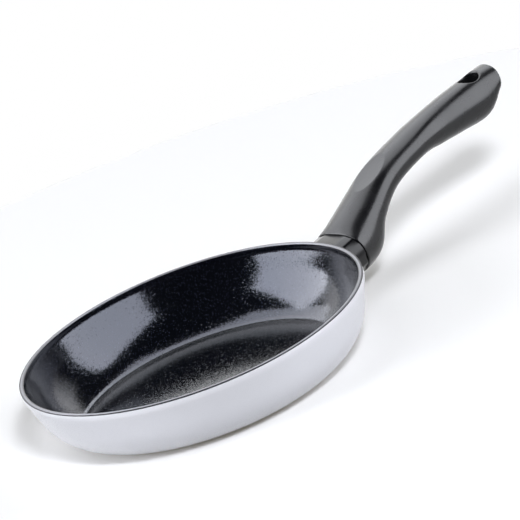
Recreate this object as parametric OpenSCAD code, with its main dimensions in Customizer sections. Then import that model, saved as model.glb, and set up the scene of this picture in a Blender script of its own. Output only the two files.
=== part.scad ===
// Frying pan with a pressed aluminium body, a dark non-stick lining, a white enamelled outside
// and a black moulded handle that one long screw clamps against a flame guard and a welded boss.
// Millimetres. The origin is the middle of the underside, +Z is up and the handle points along +X.

/* [Pan body] */
// Outside diameter at the rim
rim_d = 240; // [200:2:300]
// Height from the table to the top of the rim
pan_h = 47; // [42:1:60]
// Flare of the side wall, in degrees from upright
wall_flare = 18; // [10:1:26]
// Outside radius of the bend between the wall and the base
bend_r = 37.5; // [30:0.5:40]
// Height of the upright band below the rim
rim_band_h = 4.5; // [3:0.5:8]
// Thickness of the side wall with both coatings
wall_t = 3; // [2.4:0.1:4]
// Thickness of the floor with the lining and the base disc
floor_t = 4.7; // [4:0.1:6]
// Radius on the edges of the bare rim
rim_round_r = 0.5; // [0.2:0.1:0.8]

/* [Coatings] */
// Thickness of the white enamel
enamel_t = 0.35; // [0.2:0.05:0.6]
// Thickness of the non-stick lining
lining_t = 0.35; // [0.2:0.05:0.6]
// Height of the bare metal above the coating line, measured from the top of the rim
bare_rim_h = 0.25; // [0.1:0.05:0.8]
// Height of the dark coating line below the bare rim
dark_line_h = 0.8; // [0.4:0.1:1.5]

/* [Base] */
// How far the flat face that the pan stands on reaches past the start of the bend
foot_step = 3; // [2:0.5:6]
// Width of the aluminium ring round the steel disc in the base
disc_inset = 12; // [6:1:30]
// Thickness of the steel disc
disc_t = 0.8; // [0.5:0.1:1.2]
// Pitch of the turned grooves in the disc
groove_pitch = 10; // [6:1:16]
// Width of a turned groove
groove_w = 1.2; // [0.6:0.1:2]
// Depth of a turned groove
groove_depth = 0.2; // [0.1:0.05:0.3]

/* [Handle mount] */
// Height of the mount's axis where it meets the wall
mount_z = 26.6; // [24:0.2:30]
// Upward tilt of the mount's axis, in degrees
mount_tilt = 6; // [0:1:12]
// Length of flame guard that shows between the wall and the handle, along the axis
guard_len = 26.5; // [22:0.5:34]
// Thickness of the flame guard's sides
guard_t = 1.8; // [1.2:0.1:2.6]
// Thickness of the flame guard's end wall, which the screw clamps to the boss
guard_end_t = 3; // [2.5:0.5:4]
// How far the handle's mouth stands out past the flame guard
guard_step = 0.5; // [0.3:0.1:1.5]
// Length of the spigot that the flame guard has inside the handle
spigot_len = 5; // [3:0.5:7]
// How far the spigot is set in from the flame guard's outside
spigot_step = 2; // [1.5:0.1:3]
// Diameter of the welded boss
boss_d = 14; // [11:1:16]
// Diameter of the boss's welded foot
boss_foot_d = 20; // [17:1:22]
// Thickness of the boss's welded foot
boss_foot_t = 2.5; // [1.5:0.5:4]

/* [Screw] */
// Diameter of the screw's shank
screw_d = 5; // [4:0.5:6]
// Length of the screw under its head and washer
screw_len = 36; // [35:1:38]
// Diameter of the screw's head
screw_head_d = 9; // [8:0.5:10]
// Height of the screw's head
screw_head_h = 3.2; // [2.6:0.1:4]
// Width of a slot of the cross recess
recess_w = 1.4; // [1:0.1:2]
// Length of a slot of the cross recess
recess_len = 5; // [3:0.5:6]
// Depth of the cross recess
recess_depth = 1.8; // [1:0.1:2.2]
// Thickness of the spring washer
washer_t = 1.1; // [0.8:0.1:1.6]
// Width of the split in the spring washer
washer_split = 1.2; // [0.8:0.1:2]

/* [Handle] */
// Reach of the handle from the top of its mouth to its tip
grip_reach = 175; // [160:1:200]
// Rise of the handle's top line from its mouth to its tip
grip_rise = 40; // [30:1:50]
// Width of the mouth
mouth_w = 46; // [40:1:52]
// Height of the mouth above the mount's axis
mouth_up = 14; // [12:0.1:15]
// Height of the mouth below the mount's axis
mouth_down = 20; // [18:0.1:22]
// Lean of the mouth's face from upright, in degrees
mouth_lean = 12; // [6:1:16]
// Width of the neck behind the thumb rest
neck_w = 29; // [26:1:34]
// Depth of the neck
neck_h = 21; // [18:0.5:26]
// Width of the palm swell near the tip
palm_w = 30; // [26:1:36]
// Depth of the palm swell
palm_h = 31; // [26:0.5:36]
// Length of the rounding at the tip
tip_len = 4.5; // [3:0.5:8]
// Width of the handle where that rounding starts
tip_w = 28; // [24:0.5:30]
// Diameter of the hanging hole
hang_d = 15.5; // [10:0.5:17]
// Distance from the tip to the middle of the hanging hole
hang_from_tip = 22.5; // [18:0.5:30]

/* [Thumb rest] */
// Distance of the thumb rest's middle from the top of the mouth
rest_at = 45; // [40:1:52]
// Depth of the thumb rest in its middle
rest_depth = 2; // [1.2:0.1:2.6]
// Radius of the thumb rest's hollow
rest_r = 300; // [200:10:500]

/* [Fits] */
// Clearance between a piece and the hole it passes through
pass_gap = 0.3; // [0.1:0.05:0.5]
// Clearance between a piece and the face it is pressed or screwed against
seat_gap = 0.05; // [0.02:0.01:0.2]

/* [Hidden] */

// Fineness of round faces, and how far cuts overrun
$fn = 96;
overrun = 1;

// Pan derived sizes: the bend's middle lies above the edge of the base flat
rim_r = rim_d / 2;
band_z = pan_h - rim_band_h;
bend_top_z = bend_r * (1 - sin(wall_flare));
bend_top_r = rim_r - (band_z - bend_top_z) * tan(wall_flare);
bend_x = bend_top_r - bend_r * cos(wall_flare);
foot_r = bend_x + foot_step;
disc_r = foot_r - disc_inset;
coat_top_z = pan_h - bare_rim_h;
line_low_z = coat_top_z - dark_line_h;

// Steps along the bend and round the rim's edge
bend_steps = 24;
round_steps = 4;

// Points of an arc from one angle to another
function arc(cx, cy, r, from, to, steps) =
  [for (i = [0:steps]) let (a = from + (to - from) * i / steps) [cx + r * cos(a), cy + r * sin(a)]];

// Height of the bend's curve at a radius, and its angle at a height, for a surface set inward
function bend_angle_at_r(r, inset) = -acos((r - bend_x) / (bend_r - inset));
function bend_angle_at_z(z, inset) = -asin((bend_r - z) / (bend_r - inset));
function bend_z_at_r(r, inset) = bend_r + (bend_r - inset) * sin(bend_angle_at_r(r, inset));

// Radius of the wall's surface at a height between the bend and the upright band
function wall_r_at(z, inset) =
  rim_r - inset / cos(wall_flare) - (band_z - z) * tan(wall_flare);

// Height of the corner between the flared wall and the upright band
function corner_z(inset) = band_z + inset * (1 - cos(wall_flare)) / sin(wall_flare);

// Side of the pan from a start angle on the bend up to a top height, set inward by an inset
function side_line(inset, from, top_z) = concat(
  arc(bend_x, bend_r, bend_r - inset, from, -wall_flare, bend_steps),
  [[rim_r - inset, corner_z(inset)], [rim_r - inset, top_z]]
);

function reversed(points) = [for (i = [len(points) - 1:-1:0]) points[i]];

// Filled outline of the whole pan, grown or shrunk, that cuts what seats on the wall
module pan_outline(inset) {
  polygon(concat([[0, inset], [bend_x, inset]], side_line(inset, -90, pan_h), [[0, pan_h]]));
}

// Mount derived places, with the axis starting on the wall's outside
mount_r = wall_r_at(mount_z, 0);
mouth_x = mount_r + guard_len * cos(mount_tilt);
mouth_z = mount_z + guard_len * sin(mount_tilt);
guard_hollow_end = guard_len - guard_end_t;
spigot_end = guard_len + spigot_len;
boss_len = guard_hollow_end - seat_gap;
boss_bore_depth = boss_len - boss_foot_t - screw_d / 2;
thread_gap = seat_gap;
washer_d = screw_head_d;
head_seat = boss_foot_t + screw_d / 2 + screw_len;
sink_d = screw_head_d + 2 * pass_gap + screw_d / 4;
shank_hole_d = screw_d + 2 * pass_gap;

// Puts children on the mount's axis, with local Z along the axis and local X downward
module on_mount() {
  translate([mount_r, 0, mount_z]) rotate([0, 90 - mount_tilt, 0]) children();
}

// Handle sections from the mouth to the tip. Stations are shares of the way along the handle,
// runs and rises are shares of the reach and the rise, leans are degrees from upright.
station_shares = [0, 0.07, 0.16, 0.28, 0.42, 0.58, 0.74, 0.88, 0.94, 1];
run_shares = [0, 0.037, 0.124, 0.276, 0.47, 0.61, 0.742, 0.86, 0.915, 0.973];
rise_shares = [0, 0.115, 0.31, 0.63, 0.82, 0.91, 0.965, 0.99, 1, 1];
mouth_depth_shares = [1, 1.26, 0.43, 0.04, 0, 0, 0, 0, 0, 0];
mouth_width_shares = [1, 0.8, 0.53, 0.2, 0.1, 0, 0, 0, 0, 0];
palm_shares = [0, 0, 0, 0, 0, 0.4, 0.78, 1, 0.7, 0];
tip_shares = [0, 0, 0, 0, 0, 0, 0, 0, 0.25, 1];
leans = [mouth_lean, 34, 37, 22, 16, 2, 0, 0, -3, -13];
mouth_h = mouth_up + mouth_down;

// Superellipse powers of the crown and of the belly, and where a section is widest from its top
crown_powers = [2.8, 2.6, 2.5, 2.45, 2.45, 2.45, 2.45, 2.45, 2.45, 2.45];
belly_powers = [1.8, 1.9, 2.1, 2.3, 2.3, 2.2, 2.2, 2.1, 2.1, 2.1];
mouth_widest_share = mouth_up / mouth_h;
widest_shares = [mouth_widest_share, 0.42, 0.45, 0.48, 0.48, 0.48, 0.47, 0.46, 0.45, 0.45];

// Smooth curve through a list of values at the stations
last_station = len(station_shares) - 1;
function slope_at(v, k) =
  let (lo = max(k - 1, 0), hi = min(k + 1, last_station))
  (v[hi] - v[lo]) / (station_shares[hi] - station_shares[lo]);
function smooth_at(v, s) =
  let (
    k = max([for (i = [0:last_station - 1]) if (s >= station_shares[i]) i]),
    span = station_shares[k + 1] - station_shares[k],
    t = (s - station_shares[k]) / span,
    t2 = t * t,
    t3 = t2 * t
  )
  v[k] * (2 * t3 - 3 * t2 + 1) + slope_at(v, k) * span * (t3 - 2 * t2 + t)
  + v[k + 1] * (3 * t2 - 2 * t3) + slope_at(v, k + 1) * span * (t3 - t2);

// Top point of the handle's mouth
grip_x = mouth_x - mouth_up * sin(mouth_lean);
grip_z = mouth_z + mouth_up * cos(mouth_lean);

// A section at a station: its widest line's place, its up direction, and its sizes
function section_top(s) = [
  grip_x + grip_reach * smooth_at(run_shares, s),
  grip_z + grip_rise * smooth_at(rise_shares, s)
];
function section_up(s) = let (a = smooth_at(leans, s)) [-sin(a), cos(a)];
function section_depth(s) =
  neck_h + (mouth_h - neck_h) * smooth_at(mouth_depth_shares, s)
  + (palm_h - neck_h) * smooth_at(palm_shares, s);
function section_half_w(s) =
  neck_w / 2 + (mouth_w - neck_w) / 2 * smooth_at(mouth_width_shares, s)
  + (palm_w - neck_w) / 2 * smooth_at(palm_shares, s)
  + (tip_w - neck_w) / 2 * smooth_at(tip_shares, s);
function section_widest(s) =
  section_top(s) - section_up(s) * section_depth(s) * smooth_at(widest_shares, s);

// Point of a superellipse at an angle, given its half width and its heights up and down
function egg_point(a, half_w, up, down, crown, belly) =
  let (
    power = sin(a) > 0 ? crown : belly,
    rho = pow(pow(abs(cos(a)), power) + pow(abs(sin(a)), power), -1 / power)
  )
  [rho * cos(a) * half_w, rho * sin(a) * (sin(a) > 0 ? up : down)];

// Ring of points of the section at a station, shrunk and moved along its outward normal
ring_steps = 44;
function grip_ring(s, shrink, push) =
  let (
    up = section_up(s),
    depth = section_depth(s),
    widest = smooth_at(widest_shares, s),
    mid = section_widest(s) + push * [up[1], -up[0]]
  )
  [
    for (i = [0:ring_steps - 1])
      let (
        p = shrink * egg_point(
          360 * i / ring_steps, section_half_w(s), depth * widest, depth * (1 - widest),
          smooth_at(crown_powers, s), smooth_at(belly_powers, s)
        ),
        q = mid + p[1] * up
      )
      [q[0], -p[0], q[1]]
  ];

grip_steps = 42;
tip_steps = 6;
tip_turn = 84;
grip_rings = concat(
  [for (i = [0:grip_steps]) grip_ring(i / grip_steps, 1, 0)],
  [
    for (i = [1:tip_steps])
      let (a = tip_turn * i / tip_steps)
      grip_ring(1, cos(a), tip_len * sin(a))
  ]
);

// Triangles between rings of equal count, with a flat face on each end
function loft_faces(rings, n) = concat(
  [[for (i = [0:n - 1]) n - 1 - i]],
  [
    for (r = [0:rings - 2])
      for (i = [0:n - 1])
        let (j = (i + 1) % n)
        each [
          [r * n + i, r * n + j, (r + 1) * n + i],
          [r * n + j, (r + 1) * n + j, (r + 1) * n + i]
        ]
  ],
  [[for (i = [0:n - 1]) (rings - 1) * n + i]]
);

// Corner angles of the flame guard's outline, on the right half and from its top
guard_angles = [65, 48, 27, 0, -30, -60, -84];
function guard_corner(a, inset) = egg_point(
  a, mouth_w / 2 - inset, mouth_up - inset, mouth_down - inset, crown_powers[0], belly_powers[0]
);
module guard_outline(inset) {
  right = [for (a = guard_angles) guard_corner(a, inset)];
  left = [for (p = reversed(right)) [-p[0], p[1]]];
  // Local X points down the pan, so an outline's height turns into minus X
  polygon([for (p = concat(right, left)) [-p[1], p[0]]]);
}

// Block that fills everything beyond the mouth's face, less a gap
module beyond_mouth(gap) {
  translate([grip_x, 0, grip_z])
    rotate([0, 90 - mouth_lean, 0])
      translate([-mouth_h, -mouth_w, -gap])
        cube([3 * mouth_h, 2 * mouth_w, mouth_w]);
}

// Sphere that hollows the thumb rest, placed over the handle's top line
rest_station = max([
  for (i = [0:grip_steps]) if (section_top(i / grip_steps)[0] - grip_x <= rest_at) i / grip_steps
]);
rest_half_run = 1 / grip_steps;
rest_chord = section_top(rest_station + rest_half_run) - section_top(rest_station - rest_half_run);
rest_angle = atan2(rest_chord[1], rest_chord[0]);
rest_run = rest_at - (section_top(rest_station)[0] - grip_x);
rest_point = section_top(rest_station) + rest_run * [1, tan(rest_angle)];
hang_x = grip_x + grip_reach - hang_from_tip;
hang_z = grip_z + grip_rise;

// Pressed body: floor, bend, flared wall and rounded bare rim
module pan_body() {
  inner = wall_t - lining_t;
  outside_from = bend_angle_at_r(foot_r, enamel_t);
  inside_from = bend_angle_at_z(floor_t - lining_t, inner);
  outside = side_line(enamel_t, outside_from, pan_h - rim_round_r);
  inside = side_line(inner, inside_from, pan_h - rim_round_r);
  round_outside = arc(
    rim_r - enamel_t - rim_round_r, pan_h - rim_round_r, rim_round_r, 0, 90, round_steps
  );
  round_inside = arc(
    rim_r - inner + rim_round_r, pan_h - rim_round_r, rim_round_r, 90, 180, round_steps
  );
  disc_seat_r = disc_r + seat_gap;
  color("silver") rotate_extrude() polygon(concat(
    [[0, disc_t + seat_gap], [disc_seat_r, disc_t + seat_gap], [disc_seat_r, 0], [foot_r, 0]],
    outside, round_outside, round_inside, reversed(inside), [[0, floor_t - lining_t]]
  ));
}

// Dark granite-look lining over the floor and the inside of the wall
module nonstick_lining() {
  outer = wall_t - lining_t;
  outer_from = bend_angle_at_z(floor_t - lining_t, outer);
  inner_from = bend_angle_at_z(floor_t, wall_t);
  outside = side_line(outer, outer_from, pan_h - rim_round_r);
  inside = side_line(wall_t, inner_from, pan_h - rim_round_r);
  color([0.07, 0.07, 0.1]) rotate_extrude() polygon(concat(
    [[0, floor_t - lining_t]], outside, reversed(inside), [[0, floor_t]]
  ));
}

// White enamel on the outside, open where the boss is welded
module outer_enamel() {
  inner_from = bend_angle_at_r(foot_r, enamel_t);
  outer_from = bend_angle_at_r(foot_r, 0);
  outside = side_line(0, outer_from, line_low_z);
  inside = side_line(enamel_t, inner_from, line_low_z);
  color([0.9, 0.9, 0.94]) difference() {
    rotate_extrude() polygon(concat(outside, reversed(inside)));
    on_mount()
      translate([0, 0, -boss_foot_d / 2])
        cylinder(h = boss_foot_d, d = boss_foot_d + 2 * pass_gap);
  }
}

// Thin line of dark coating left below the bare rim
module rim_line() {
  color([0.07, 0.07, 0.1]) translate([0, 0, line_low_z]) difference() {
    cylinder(h = dark_line_h, r = rim_r);
    translate([0, 0, -overrun]) cylinder(h = dark_line_h + 2 * overrun, r = rim_r - enamel_t);
  }
}

// Steel disc in the base, with turned grooves in its underside
module base_disc() {
  color("lightgray") difference() {
    cylinder(h = disc_t, r = disc_r);
    for (r = [groove_pitch:groove_pitch:disc_r - groove_pitch / 2])
      translate([0, 0, -overrun])
        difference() {
          cylinder(h = overrun + groove_depth, r = r + groove_w / 2);
          translate([0, 0, -overrun])
            cylinder(h = 3 * overrun + groove_depth, r = r - groove_w / 2);
        }
  }
}

// Boss welded to the bare metal of the wall, with a blind hole for the screw
module weld_boss() {
  root = boss_foot_d / 2;
  color("gray") difference() {
    on_mount() {
      translate([0, 0, -root]) cylinder(h = root + boss_foot_t, d = boss_foot_d);
      cylinder(h = boss_len, d = boss_d);
    }
    rotate_extrude() pan_outline(enamel_t - seat_gap);
    on_mount()
      translate([0, 0, boss_len - boss_bore_depth])
        cylinder(h = boss_bore_depth + overrun, d = screw_d + 2 * thread_gap);
  }
}

// Black sleeve between the wall and the handle, cut to both and hollow round the boss, with a
// spigot that the handle sits on
module flame_guard() {
  root = foot_r / 2;
  color([0.06, 0.06, 0.07]) difference() {
    union() {
      difference() {
        on_mount()
          translate([0, 0, -root])
            linear_extrude(height = root + spigot_end) guard_outline(guard_step);
        beyond_mouth(seat_gap);
      }
      on_mount()
        translate([0, 0, guard_hollow_end])
          linear_extrude(height = spigot_end - guard_hollow_end)
            guard_outline(guard_step + spigot_step);
    }
    on_mount()
      translate([0, 0, -root - overrun])
        linear_extrude(height = root + overrun + guard_hollow_end)
          guard_outline(guard_step + guard_t);
    on_mount() cylinder(h = spigot_end + overrun, d = shank_hole_d);
    rotate_extrude() pan_outline(-seat_gap);
  }
}

// Moulded handle: a loft of rounded sections with its socket, screw way, thumb rest and hole
module handle_grip() {
  color([0.1, 0.1, 0.11]) difference() {
    polyhedron(
      points = [for (ring = grip_rings) each ring],
      faces = loft_faces(len(grip_rings), ring_steps)
    );
    on_mount()
      translate([0, 0, guard_hollow_end])
        linear_extrude(height = spigot_end + seat_gap - guard_hollow_end)
          guard_outline(guard_step + spigot_step - pass_gap);
    on_mount() cylinder(h = head_seat + overrun, d = shank_hole_d);
    on_mount() translate([0, 0, head_seat]) cylinder(h = grip_reach / 4, d = sink_d);
    translate([hang_x, 0, hang_z - 2 * palm_h]) cylinder(h = 3 * palm_h, d = hang_d);
    translate([rest_point[0], 0, rest_point[1]])
      rotate([0, -rest_angle, 0])
        translate([0, 0, rest_r - rest_depth]) sphere(r = rest_r);
  }
}

// Screw from the handle's underside into the boss, with a cross recess in its head
module handle_screw() {
  color("silver") on_mount() difference() {
    union() {
      translate([0, 0, head_seat + washer_t + 2 * seat_gap - screw_len])
        cylinder(h = screw_len, d = screw_d);
      translate([0, 0, head_seat + washer_t + 2 * seat_gap])
        cylinder(h = screw_head_h, d = screw_head_d);
    }
    for (turn = [0, 90])
      translate([0, 0, head_seat + washer_t + 2 * seat_gap + screw_head_h - recess_depth])
        rotate([0, 0, turn])
          translate([-recess_len / 2, -recess_w / 2, 0])
            cube([recess_len, recess_w, recess_depth + overrun]);
  }
}

// Split spring washer under the screw's head
module spring_washer() {
  color("darkgray") on_mount() translate([0, 0, head_seat + seat_gap]) difference() {
    cylinder(h = washer_t, d = washer_d);
    translate([0, 0, -overrun]) cylinder(h = washer_t + 2 * overrun, d = shank_hole_d);
    translate([0, -washer_split / 2, -overrun])
      cube([washer_d, washer_split, washer_t + 2 * overrun]);
  }
}

pan_body();
nonstick_lining();
outer_enamel();
rim_line();
base_disc();
weld_boss();
flame_guard();
handle_grip();
handle_screw();
spring_washer();
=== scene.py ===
"""Frying pan: a pressed aluminium pan with a speckled non-stick lining, a white enamelled outside and a
black moulded handle, on its CAD frame, with an operator for each group of pieces and the stage."""

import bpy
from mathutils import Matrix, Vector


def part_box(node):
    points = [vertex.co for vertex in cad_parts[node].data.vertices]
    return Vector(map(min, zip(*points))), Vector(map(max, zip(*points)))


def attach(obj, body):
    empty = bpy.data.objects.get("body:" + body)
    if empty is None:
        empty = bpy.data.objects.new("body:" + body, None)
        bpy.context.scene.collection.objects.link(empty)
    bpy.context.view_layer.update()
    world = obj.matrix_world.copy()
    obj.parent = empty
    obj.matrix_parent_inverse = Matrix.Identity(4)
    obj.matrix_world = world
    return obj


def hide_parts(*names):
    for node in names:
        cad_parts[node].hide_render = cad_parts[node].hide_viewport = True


bl_info = {
    "name": "Frying Pan",
    "version": (1, 0, 0),
    "blender": (4, 5, 0),
    "location": "3D View > Sidebar > Frying Pan",
    "description": "Builds a frying pan piece by piece, with its materials and its studio",
    "category": "Object",
}

import math

import bmesh
import bpy
from bpy.props import FloatProperty, FloatVectorProperty, PointerProperty
from bpy.types import Operator, Panel, PropertyGroup
from mathutils import Matrix, Vector
from mathutils.bvhtree import BVHTree

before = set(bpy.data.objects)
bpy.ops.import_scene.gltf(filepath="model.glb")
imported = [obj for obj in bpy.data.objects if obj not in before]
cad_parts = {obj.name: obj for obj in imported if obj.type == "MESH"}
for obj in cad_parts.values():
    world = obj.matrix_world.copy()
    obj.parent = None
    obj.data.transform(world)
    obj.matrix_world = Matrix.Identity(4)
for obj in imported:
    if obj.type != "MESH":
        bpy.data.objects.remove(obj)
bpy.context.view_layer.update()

MM = 0.001

# How finely the pan's pieces are turned and bent, and the handle is lofted round and along
PAN_TURN_STEPS = 224
SMALL_TURN_STEPS = 64
BEND_STEPS = 28
GRIP_ROUND_STEPS = 104
GRIP_LONG_STEPS = 138
HOLE_STEPS = 72

# Vertices of a turned profile closer than this become one
MERGE = 0.002 * MM

# Small forms of the pressed sheet: its softened corners, the short steps that keep a flat wall flat
# in smooth shading, and its broken edges
CORNER_ROUND = 1.2 * MM
WALL_EASE = 1.6 * MM
EDGE_BREAK = 0.12 * MM

# Breaks and roundings of single edges
GROOVE_BREAK = 0.1 * MM
DISC_CHAMFER = 0.25 * MM
COAT_BREAK = 0.1 * MM
LINE_TOP_ROUND = 0.15 * MM
LINE_LOW_BREAK = 0.08 * MM
WASHER_BREAK = 0.15 * MM

# The floor's edge, and how far it lies under the pan so that the two don't share a plane
FLOOR_STEPS = 96
FLOOR_DROP = 0.02 * MM

# The lamps are a little cool, and the floor's glow is as warm, so that paper and shadow come out
# neutral
LAMP_COLOUR = (0.93, 0.95, 1.0)
GLOW_COLOUR = (1.0, 0.92, 0.72, 1.0)


def srgb(code):
    """Turns an sRGB hex colour into linear red, green and blue."""
    channels = [int(code[i:i + 2], 16) / 255 for i in (1, 3, 5)]
    return [c / 12.92 if c <= 0.04045 else ((c + 0.055) / 1.055) ** 2.4 for c in channels]


def length(name, description, millimetres):
    """A length property with its default in millimetres."""
    return FloatProperty(name=name, description=description, default=millimetres * MM, min=0.0,
                         precision=5, subtype="DISTANCE", unit="LENGTH")


def angle(name, description, degrees):
    """An angle property with its default in degrees."""
    return FloatProperty(name=name, description=description, default=math.radians(degrees),
                         subtype="ANGLE", unit="ROTATION")


def colour(name, description, code):
    """A colour property with its default as an sRGB hex value."""
    return FloatVectorProperty(name=name, description=description, default=srgb(code), size=3,
                               min=0.0, max=1.0, subtype="COLOR")


def number(name, description, value):
    """A property for a plain number."""
    return FloatProperty(name=name, description=description, default=value, min=0.0)


class PanSizes(PropertyGroup):
    """Sizes of the turned pan and its coats"""
    rim_d: length("Rim diameter", "Outside diameter at the rim", 2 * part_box("rim_line")[1].x / MM)
    height: length("Height", "From the table to the top of the rim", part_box("pan_body")[1].z / MM)
    wall_flare: angle("Wall flare", "Flare of the side wall from upright", 18)
    bend_r: length("Bend radius", "Outside radius of the bend between wall and base", 37.5)
    band_h: length("Upright band", "Height of the upright band below the rim", 4.5)
    wall_t: length("Wall thickness", "Thickness of the wall with both coats", 3)
    floor_t: length("Floor thickness", "Thickness of the floor with lining and disc", 4.7)
    lip_round: length("Lip rounding", "Radius on the edges of the bare rim", 1.0)
    crease_bend_r: length("Crease bend radius", "Radius of the lining's bend next to the floor", 15)
    crease_slope: angle("Crease bend slope", "Slope where the bend next to the floor opens", 32)
    enamel_t: length("Enamel thickness", "Thickness of the white enamel", 0.35)
    lining_t: length("Lining thickness", "Thickness of the non-stick lining", 0.35)
    lining_drop: length("Lining drop", "How far the lining ends below the rim", 0.5)
    bare_h: length("Bare rim height", "Height of bare metal above the dark rim line", 0.25)
    line_h: length("Dark rim line height", "Height of the dark line under the rim", 0.8)
    foot_step: length("Foot step", "How far the base flat reaches past the start of the bend", 3)
    disc_inset: length("Disc inset", "Width of the aluminium ring round the disc", 12)
    disc_t: length("Disc thickness", "Thickness of the steel disc", 0.8)
    groove_pitch: length("Groove pitch", "Distance between turned grooves", 10)
    groove_w: length("Groove width", "Width of a turned groove", 1.2)
    groove_depth: length("Groove depth", "Depth of a turned groove", 0.2)
    seat_gap: length("Seat gap", "Clearance between pieces pressed together", 0.05)


class MountSizes(PropertyGroup):
    """Sizes of the flame guard, the screw and its washer"""
    mount_z: length("Mount height", "Height of the mount's axis on the wall", 26.6)
    mount_tilt: angle("Mount tilt", "Upward tilt of the mount's axis", 6)
    guard_len: length("Guard length", "Length of guard between wall and handle", 26.5)
    guard_t: length("Guard thickness", "Thickness of the guard's sides", 1.8)
    guard_end_t: length("Guard end", "Thickness of the guard's end wall", 3)
    guard_step: length("Guard step", "How far the handle's mouth stands proud of the guard", 0.5)
    guard_round: length("Guard edge rounding", "Rounding along the guard's long edges", 1.4)
    guard_end_round: length("Guard end rounding", "Rounding at the guard's end", 0.45)
    spigot_len: length("Spigot length", "Length of spigot inside the handle", 5)
    spigot_step: length("Spigot step", "How far the spigot is set in", 2)
    boss_foot_t: length("Boss foot", "Thickness of the welded boss's foot", 2.5)
    boss_foot_d: length("Boss foot diameter", "Diameter of the welded boss's foot", 20)
    screw_d: length("Screw diameter", "Diameter of the screw's shank", 5)
    screw_len: length("Screw length", "Length of the screw under its head", 36)
    head_d: length("Head diameter", "Diameter of the screw's head", 9)
    head_h: length("Head height", "Height of the screw's head", 3.2)
    recess_w: length("Recess width", "Width of a slot of the cross recess", 1.4)
    recess_len: length("Recess length", "Length of a slot of the cross recess", 5)
    recess_depth: length("Recess depth", "Depth of the cross recess", 1.8)
    washer_t: length("Washer thickness", "Thickness of the spring washer", 1.1)
    washer_split: length("Washer split", "Width of the split in the spring washer", 1.2)
    pass_gap: length("Pass gap", "Clearance between a piece and its hole", 0.3)


class HandleSizes(PropertyGroup):
    """Sizes of the moulded handle"""
    reach: length("Reach", "From the top of the mouth to the tip", 175)
    rise: length("Rise", "Rise of the top line from mouth to tip", 40)
    mouth_w: length("Mouth width", "Width of the mouth", 46)
    mouth_up: length("Mouth above axis", "Height of the mouth above the mount's axis", 14)
    mouth_down: length("Mouth below axis", "Height of the mouth below the mount's axis", 20)
    mouth_lean: angle("Mouth lean", "Lean of the mouth's face from upright", 12)
    mouth_round: length("Mouth rounding", "Rounding of the mouth's edge", 0.7)
    neck_w: length("Neck width", "Width behind the thumb rest", 29)
    neck_h: length("Neck depth", "Depth behind the thumb rest", 21)
    palm_w: length("Palm width", "Width of the palm swell", 30)
    palm_h: length("Palm depth", "Depth of the palm swell", 31)
    tip_len: length("Tip rounding", "Length of the rounding at the tip", 4.5)
    tip_w: length("Tip width", "Width where the tip's rounding starts", 28)
    hang_d: length("Hanging hole", "Diameter of the hanging hole", 15.5)
    hang_back: length("Hole from tip", "From the tip to the middle of the hanging hole", 22.5)
    hang_round: length("Hole rounding", "Rounding of the hanging hole's edges", 1.3)
    rest_at: length("Thumb rest place", "From the mouth to the middle of the thumb rest", 45)
    rest_depth: length("Thumb rest depth", "Depth of the thumb rest in its middle", 2)
    rest_r: length("Thumb rest radius", "Radius of the thumb rest's hollow", 300)
    rest_edge: length("Thumb rest edge", "Rounding of the thumb rest's edge", 0.35)


class Finishes(PropertyGroup):
    """Colours of the materials"""
    lining: colour("Lining", "Ground colour of the non-stick lining", "#06070c")
    speck: colour("Specks", "Colour of the light specks in the lining", "#3c3f52")
    enamel: colour("Enamel", "Colour of the white enamel", "#dedee2")
    rim_line_tone: colour("Dark rim line", "Colour of the dark line under the rim", "#16161c")
    aluminium: colour("Aluminium", "Colour of the bare aluminium", "#76767a")
    base_steel: colour("Base steel", "Colour of the turned base disc", "#b4b3b0")
    fastener: colour("Fastener steel", "Colour of the boss, screw and washer", "#a9aaad")
    guard: colour("Guard", "Colour of the guard's stove enamel", "#060608")
    handle: colour("Handle", "Colour of the phenolic handle", "#09090b")


class StudioSizes(PropertyGroup):
    """Camera, lamps, world and floor"""
    view_rise: angle("View rise", "Height of the camera above the horizon", 19.78)
    view_turn: angle("View turn", "Direction of the camera round the pan", -126)
    view_distance: length("View distance", "From the rim's middle to the camera", 5398.3)
    aim_side: angle("Aim aside", "Aim to the right of the rim's middle", 0.62163)
    aim_up: angle("Aim up", "Aim above the rim's middle", 0.26403)
    roll: angle("Roll", "Roll of the camera", -20.6818)
    focal: FloatProperty(name="Focal length", description="Focal length on a 36 mm sensor",
                         default=567.9, min=1.0, subtype="DISTANCE_CAMERA", unit="CAMERA")
    lamp_distance: length("Lamp distance", "From the pan to the panels", 2600)
    left_lamp: number("Left panel", "Radiance of the left panel", 5.4)
    right_lamp: number("Right panel", "Radiance of the right panel", 4.5)
    back_lamp: number("Back panel", "Radiance of the back panel", 2.8)
    left_key: number("Left key", "Light of the left key on the floor", 0.17)
    front_key: number("Front key", "Light of the front key on the floor", 0.37)
    top_key: number("Top key", "Light of the top key on the floor", 0.26)
    right_fill: number("Right fill", "Light of the right fill on the floor", 0.13)
    key_distance: number("Key distance", "Distance of the keys, in lamp distances", 3.0)
    sweep: number("Sweep", "Level of the white sweep behind", 1.9)
    room: number("Room", "Level of the dim room", 0.02)
    floor_r: length("Floor radius", "Radius of the pale floor", 520)
    floor_glow: number("Floor glow", "Lift to white where seen", 0.1)


class FryingPan(PropertyGroup):
    """Everything that a user would change on the frying pan"""
    pan: PointerProperty(type=PanSizes)
    mount: PointerProperty(type=MountSizes)
    handle: PointerProperty(type=HandleSizes)
    finishes: PointerProperty(type=Finishes)
    studio: PointerProperty(type=StudioSizes)


# Mesh helpers

def line_to(bm, vert, r, z):
    """Draws the profile on from a vertex to a radius and a height, and returns its new end."""
    end = bmesh.ops.extrude_vert_indiv(bm, verts=[vert])["verts"][0]
    end.co = (r, 0.0, z)
    return end


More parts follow.
